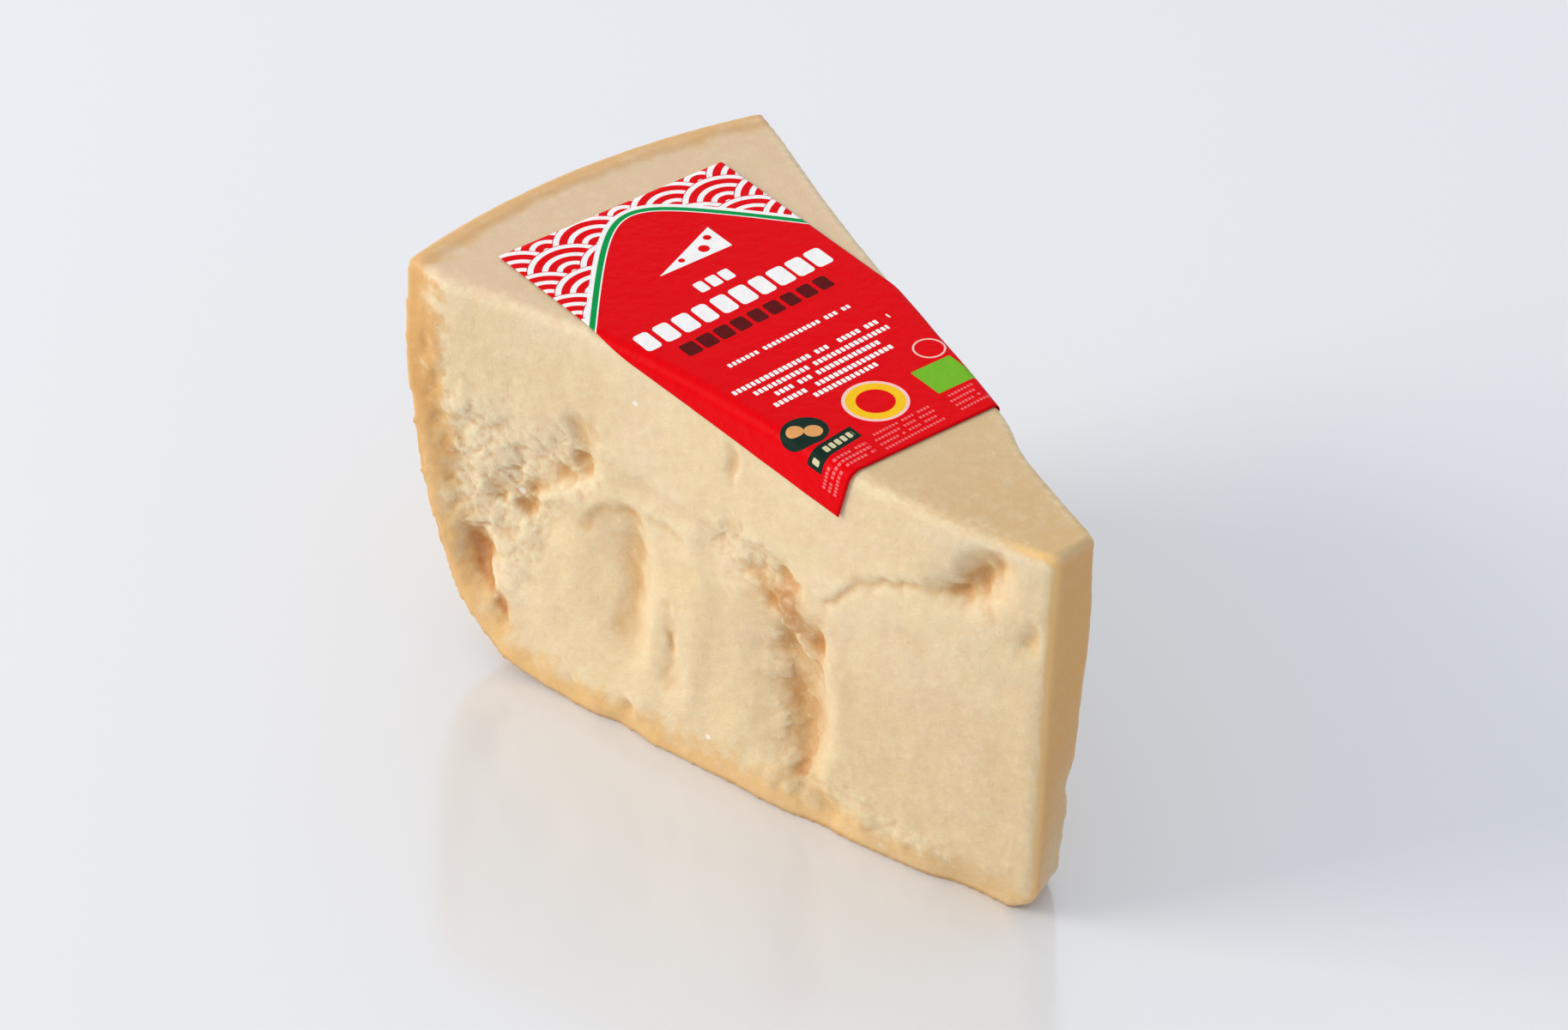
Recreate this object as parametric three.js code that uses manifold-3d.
// A chunk of hard grana cheese: a wedge out of the lower half of a wheel, standing on the wheel's
// flat rind side, with a printed label laid over the cut top and folded down at both sides.
// Millimetres, +Z up. The rind is at -X and the tip, which was the wheel's middle, points to +X.
import * as THREE from "three";
import { ImprovedNoise } from "three/addons/math/ImprovedNoise.js";
import { mergeVertices } from "three/addons/utils/BufferGeometryUtils.js";
import Module from "manifold-3d";

const wasm = await Module();
wasm.setup();

// The wheel that the chunk was cut from
const WHEEL_RADIUS = 201.3; // at its widest ring: a whole wheel is about 40 cm across
const CHUNK_HEIGHT = 115; // half of a 23 cm high wheel, cut level
const WEDGE_ANGLE = 30; // degrees between the two broken sides
const SIDE_OFFSET = 4.6; // how far each side's plane passes outside the wheel's axis
const AXIS_X = 101.3; // the wheel's axis in the part's frame, so that the chunk is centred

// The rind's outline from the widest ring down to the flat side
const BULGE_HEIGHT = 100; // the widest ring, a little below the cut top
const BULGE_RADIUS = 300; // the barrel's own curve, seen from the side
const CORNER_TOP = 50; // where the barrel starts to turn under
const CORNER_MIDDLE = 24; // and how far down the turn stays close to the barrel
const FLAT_RADIUS = 152; // the flat side that the chunk stands on
const RIND_EDGE = 1.5; // round on the rind's top edge

// The two broken sides, each measured from the rind's widest ring: `along` it towards the tip, and
// up. The tip is a plain cut that leans in by `lean` on its way down, more at the back, and by
// `foot` in its last 10 mm. `round` is for the side's crest and for its edge at the tip.
const SIDES = {
  front: { length: 199, lean: 5.2, curve: 1, foot: 7, round: 2.8 },
  back: { length: 197.6, lean: 10, curve: 1.6, foot: 6, round: 1.5 },
};

// How finely each broken side is divided
const COLUMNS = 58;
const ROWS = 32;
const ROUND_STEPS = [0, 30, 60, 90]; // degrees round an edge
const PAST_RIND = 15; // how far the sides run on outside the rind, past the bow of its arc

// The label
const LABEL_START = 179.5; // its rind-side edge, from the wheel's axis
const LABEL_LENGTH = 123.5;
const LABEL_FRONT = 36; // how far it reaches across to the front, measured flat
const LABEL_BACK = 33.2; // and to the back
const LABEL_THICKNESS = 0.35;
const LABEL_GAP = 0.3;
const LABEL_ALONG = 26; // cells along it
const LABEL_FLAT = 2; // cells from its middle to each fold
const LABEL_FOLD = 4; // round each fold
const LABEL_FLAP = 4; // and down each side

const rad = THREE.MathUtils.degToRad;
const { lerp, clamp, smoothstep } = THREE.MathUtils;
const noise = new ImprovedNoise();

const half = rad(WEDGE_ANGLE / 2);

// side is -1 for the front and +1 for the back
const nameOf = (side) => (side < 0 ? "front" : "back");
const sideNormal = (side) => new THREE.Vector3(Math.sin(half), side * Math.cos(half), 0);
const toTheRind = (side) => new THREE.Vector3(-Math.cos(half), side * Math.sin(half), 0);

// Hollows where flakes have come away: where (along, height), how far each reaches towards the
// rind, towards the tip, down and up, and how deep it is. Most slope gently in to a steep wall.
const HOLLOWS = {
  front: [
    { at: [31, 54], rind: 24, tip: 22, down: 32, up: 26, deep: 2.6 }, // crumbled patch
    { at: [19, 31], rind: 9, tip: 8, down: 15, up: 14, deep: 3.4 }, // pit against the rind
    { at: [68.5, 47], rind: 36, tip: 9, down: 36, up: 22, deep: 4.8 }, // first shell
    { at: [94, 26], rind: 7, tip: 12, down: 20, up: 30, deep: 1 },
    { at: [127, 40], rind: 34, tip: 7.5, down: 38, up: 22, deep: 5.2 }, // second shell
    { at: [115, 71], rind: 13, tip: 13, down: 8, up: 8, deep: 3.4 }, // cave under the lip
    { at: [124, 56], rind: 9, tip: 8, down: 9, up: 9, deep: 2 },
    { at: [124, 26], rind: 9, tip: 9, down: 16, up: 14, deep: 1.8 },
    { at: [180, 102.5], rind: 9, tip: 8, down: 11, up: 10, deep: 5 }, // pit near the tip
    { at: [173, 94.5], rind: 10, tip: 9, down: 7, up: 8, deep: 3.6 },
    { at: [53.5, 76], rind: 13, tip: 8, down: 12, up: 14, deep: 1.8 }, // step over the patch
    { at: [131, 8], rind: 14, tip: 12, down: 12, up: 7, deep: 2.8 }, // chips at the base
    { at: [69, 0], rind: 12, tip: 6, down: 8, up: 7, deep: 2 },
    { at: [176, 0], rind: 16, tip: 30, down: 8, up: 14, deep: 3 },
    { at: [0, 115], rind: 8, tip: 14, down: 26, up: 10, deep: 2.6 }, // worn corner at the rind
    { at: [105, 0], rind: 60, tip: 65, down: 10, up: 40, deep: -1.6 }, // the foot stands proud
    { at: [191.5, 88], rind: 5, tip: 5, down: 7, up: 6, deep: 1.4 },
  ],
  back: [
    { at: [48, 44], rind: 30, tip: 12, down: 30, up: 26, deep: 4 },
    { at: [28, 70], rind: 16, tip: 18, down: 14, up: 14, deep: 2.6 },
    { at: [92, 60], rind: 34, tip: 11, down: 32, up: 16, deep: 3.6 },
    { at: [104, 20], rind: 20, tip: 14, down: 18, up: 14, deep: 2.4 },
    { at: [147, 52], rind: 34, tip: 14, down: 28, up: 24, deep: 3.6 },
    { at: [130, 80], rind: 14, tip: 10, down: 8, up: 8, deep: 2.2 },
    { at: [190, 38], rind: 12, tip: 8, down: 6, up: 7, deep: 1.2 },
    { at: [163, 115], rind: 18, tip: 44, down: 30, up: 30, deep: 2.4 }, // the crest steps in
  ],
};

// The wave of each crest, and the lip where the smooth upper break ends in a step
const CREST = {
  front: { swing: 4.6, start: 12, length: 206, out: 0 },
  back: { swing: 1.4, start: 5, length: 210, out: 0.6 },
};
const LIP = { height: 79, wave: 5, step: 7, near: 2, far: 0.2 };

// Where the break is crumbled rather than flaked, as it is near the rind
const CRUMBLED = { at: [30, 54], rind: 24, tip: 28, down: 40, up: 30, deep: 1.3 };

function hollow(h, along, height) {
  const [a, z] = h.at;
  const p = (along - a) / (along < a ? h.rind : h.tip);
  const q = (height - z) / (height < z ? h.down : h.up);
  return h.deep * Math.max(0, 1 - p * p - q * q) ** 2;
}

// Grain of the break: coarse lumps with crumbs between them
function grain(along, height, seed) {
  const lumps = noise.noise(along / 23, height / 19, seed);
  const crumbs = noise.noise(along / 9, height / 8, seed + 9.3);
  return 1.1 * lumps + 0.7 * crumbs;
}

// How far the side stands out (+) or in (-) of its plane
function relief(side, along, height) {
  const name = nameOf(side);
  const { swing, start, length, out } = CREST[name];
  const wave = out - swing * Math.sin((2 * Math.PI * (along - start)) / length);
  const crest = wave * smoothstep(along, 0, 25) * smoothstep(height, 0, 100);
  const lip = LIP.height + LIP.wave * noise.noise(along / 26, 3.1, side * 4.2);
  const under = 1 - smoothstep(height, lip - LIP.step, lip);
  const depth = lerp(LIP.near, LIP.far, smoothstep(along, 70, 140));
  const ledge = under * depth * smoothstep(height, 0, 30) * smoothstep(along, 0, 16);
  const calm = lerp(1, 0.3, smoothstep(along, 128, 145));
  const rough = lerp(0.12, 1, under) * (calm + hollow(CRUMBLED, along, height));
  const dents = HOLLOWS[name].reduce((sum, h) => sum + hollow(h, along, height), 0);
  return crest - ledge - dents + rough * grain(along, height, side < 0 ? 1.7 : 6.4);
}

// Setback of a rounded edge of radius r, for a point that is `a` and `b` short of its two ends
function setback(r, a, b) {
  const p = clamp(r - a, 0, r);
  const q = clamp(r - b, 0, r);
  return r - Math.sqrt(Math.max(0, r * r - p * p - q * q));
}

// A point on a broken side, whose tip edge stands at `tip`
function sidePoint(side, along, height, tip) {
  const round = setback(SIDES[nameOf(side)].round, tip - along, CHUNK_HEIGHT - height);
  const out = SIDE_OFFSET - round + relief(side, along, height);
  return toTheRind(side)
    .multiplyScalar(WHEEL_RADIUS - along)
    .addScaledVector(sideNormal(side), out)
    .setZ(height);
}

// Where the tip's edge stands at a height
function tipEdge(side, height) {
  const { length, lean, curve, foot, round } = SIDES[nameOf(side)];
  const below = clamp(1 - height / CHUNK_HEIGHT, 0, 1);
  const tuck = foot * Math.max(0, 1 - height / 10) ** 2;
  return length - lean * below ** curve - tuck - setback(round, round, CHUNK_HEIGHT - height);
}

// manifold-3d takes a closed mesh without normals or texture coordinates
function solid(geometry) {
  geometry.deleteAttribute("normal");
  geometry.deleteAttribute("uv");
  const merged = mergeVertices(geometry, 1e-5);
  return new wasm.Manifold(
    new wasm.Mesh({
      numProp: 3,
      vertProperties: new Float32Array(merged.attributes.position.array),
      triVerts: new Uint32Array(merged.index.array),
    }),
  );
}

// The wheel's lower half: its flat side, the corner turned under, the barrel and the cut's edge
function halfWheel() {
  const waist = (z) => WHEEL_RADIUS - (z - BULGE_HEIGHT) ** 2 / (2 * BULGE_RADIUS);
  const corner = new THREE.CubicBezierCurve(
    new THREE.Vector2(FLAT_RADIUS, 0),
    new THREE.Vector2(WHEEL_RADIUS - 14.3, 0),
    new THREE.Vector2(WHEEL_RADIUS - 7, CORNER_MIDDLE),
    new THREE.Vector2(waist(CORNER_TOP), CORNER_TOP),
  );
  const profile = [new THREE.Vector2(0, 0), ...corner.getPoints(12)];
  const barrelTop = CHUNK_HEIGHT - RIND_EDGE;
  for (let k = 1; k <= 6; k++) {
    const z = lerp(CORNER_TOP, barrelTop, k / 6);
    profile.push(new THREE.Vector2(waist(z), z));
  }
  for (const turn of [30, 60, 90]) {
    const x = waist(barrelTop) - RIND_EDGE * (1 - Math.cos(rad(turn)));
    profile.push(new THREE.Vector2(x, barrelTop + RIND_EDGE * Math.sin(rad(turn))));
  }
  profile.push(new THREE.Vector2(0, CHUNK_HEIGHT));
  return solid(new THREE.LatheGeometry(profile, 240).rotateX(Math.PI / 2));
}

// The block between the two broken sides and the tip, longer and taller than the chunk, so that
// only its sides and its tip end show once the wheel has trimmed it
function brokenBlock() {
  const turns = ROUND_STEPS.map((turn) => 1 - Math.sin(rad(turn)));
  const widest = SIDES.front.round;
  const heights = [-2];
  for (let k = 0; k <= ROWS; k++) heights.push(lerp(1.2, CHUNK_HEIGHT - widest, k / ROWS));
  heights.push(...turns.slice(1).map((t) => CHUNK_HEIGHT - widest * t), CHUNK_HEIGHT + 3);
  const columns = COLUMNS + turns.length - 1;
  const rows = heights.length - 1;
  const block = new THREE.BoxGeometry(1, 1, 1, columns, 1, rows);
  const position = block.attributes.position;
  for (let v = 0; v < position.count; v++) {
    const column = Math.round((position.getX(v) + 0.5) * columns);
    const height = heights[Math.round((position.getZ(v) + 0.5) * rows)];
    const side = Math.sign(position.getY(v));
    const { round } = SIDES[nameOf(side)];
    const tip = tipEdge(side, height);
    let along = tip - round * turns[Math.max(0, column - COLUMNS)];
    if (column < COLUMNS) along = lerp(-2, tip - round, column / COLUMNS);
    if (column === 0) along = -PAST_RIND;
    const p = sidePoint(side, along, height, tip);
    position.setXYZ(v, p.x, p.y, p.z);
  }
  return solid(block);
}

// How far a point of the flat label, `x` from the axis and `y` across, lies past the start of its
// fold. The fold follows the crest, so that it wanders as the crest does.
function pastFold(x, y, side) {
  const flat = new THREE.Vector3(-x, y, 0);
  const along = WHEEL_RADIUS - flat.dot(toTheRind(side));
  const crest = SIDE_OFFSET + relief(side, along, CHUNK_HEIGHT);
  return { past: flat.dot(sideNormal(side)) - crest + SIDES[nameOf(side)].round, along, crest };
}

// A point of the label once it is laid on: flat on the top, round the crest, down the side
function laidPoint(x, y, lift) {
  const side = Math.sign(y) || 1;
  const { round } = SIDES[nameOf(side)];
  const { past, along, crest } = pastFold(x, y, side);
  if (past <= 0) return new THREE.Vector3(-x, y, CHUNK_HEIGHT + lift);
  const turn = Math.min(past / round, Math.PI / 2);
  const down = Math.max(0, past - (round * Math.PI) / 2);
  const height = CHUNK_HEIGHT - round + (round + lift) * Math.cos(turn) - down;
  const sag = down > 0 ? relief(side, along, height) - relief(side, along, CHUNK_HEIGHT) : 0;
  const out = crest - round + (round + lift) * Math.sin(turn) + sag;
  return toTheRind(side)
    .multiplyScalar(WHEEL_RADIUS - along)
    .addScaledVector(sideNormal(side), out)
    .setZ(height);
}

// The label's grid lines across it at `x`, out to one side: some to the fold, some round it and
// some down the flap, packed close where the label ends before the fold does
function linesAcross(x, side) {
  const edge = side < 0 ? LABEL_FRONT : LABEL_BACK;
  const fold = -pastFold(x, 0, side).past / Math.cos(half);
  const folded = fold + (SIDES[nameOf(side)].round * Math.PI) / 2 / Math.cos(half);
  const count = LABEL_FLAT + LABEL_FOLD + LABEL_FLAP;
  const lines = [];
  for (let k = 1; k <= count; k++) {
    let y = lerp(folded, edge, (k - LABEL_FLAT - LABEL_FOLD) / LABEL_FLAP);
    if (k <= LABEL_FLAT) y = (fold * k) / LABEL_FLAT;
    else if (k <= LABEL_FLAT + LABEL_FOLD) y = lerp(fold, folded, (k - LABEL_FLAT) / LABEL_FOLD);
    lines.push(side * (folded < edge ? y : Math.min(y, edge - 0.2 * (count - k))));
  }
  lines[count - 1] = side * edge;
  return lines;
}

function labelSheet() {
  const perSide = LABEL_FLAT + LABEL_FOLD + LABEL_FLAP;
  const sheet = new THREE.BoxGeometry(1, 1, 1, LABEL_ALONG, 2 * perSide, 1);
  const position = sheet.attributes.position;
  for (let v = 0; v < position.count; v++) {
    const x = LABEL_START - LABEL_LENGTH * (position.getX(v) + 0.5);
    const line = Math.round(position.getY(v) * 2 * perSide);
    const y = line ? linesAcross(x, Math.sign(line))[Math.abs(line) - 1] : 0;
    const p = laidPoint(x, y, LABEL_GAP + (position.getZ(v) > 0 ? LABEL_THICKNESS : 0));
    position.setXYZ(v, p.x, p.y, p.z);
  }
  return solid(sheet);
}

function meshOf(body, name, colour, roughness) {
  const { vertProperties, triVerts } = body.getMesh();
  const geometry = new THREE.BufferGeometry();
  geometry.setAttribute("position", new THREE.BufferAttribute(vertProperties, 3));
  geometry.setIndex(new THREE.BufferAttribute(triVerts, 1));
  geometry.translate(AXIS_X, 0, 0);
  geometry.computeVertexNormals();
  const material = new THREE.MeshStandardMaterial({ color: colour, roughness, metalness: 0 });
  const mesh = new THREE.Mesh(geometry, material);
  mesh.name = name;
  return mesh;
}

const chunk = new THREE.Group();
chunk.name = "cheese_chunk";
chunk.add(
  meshOf(halfWheel().intersect(brokenBlock()), "cheese", "#e2cb9a", 0.55),
  meshOf(labelSheet(), "label", "#dd0d1c", 0.45),
);

export default chunk;
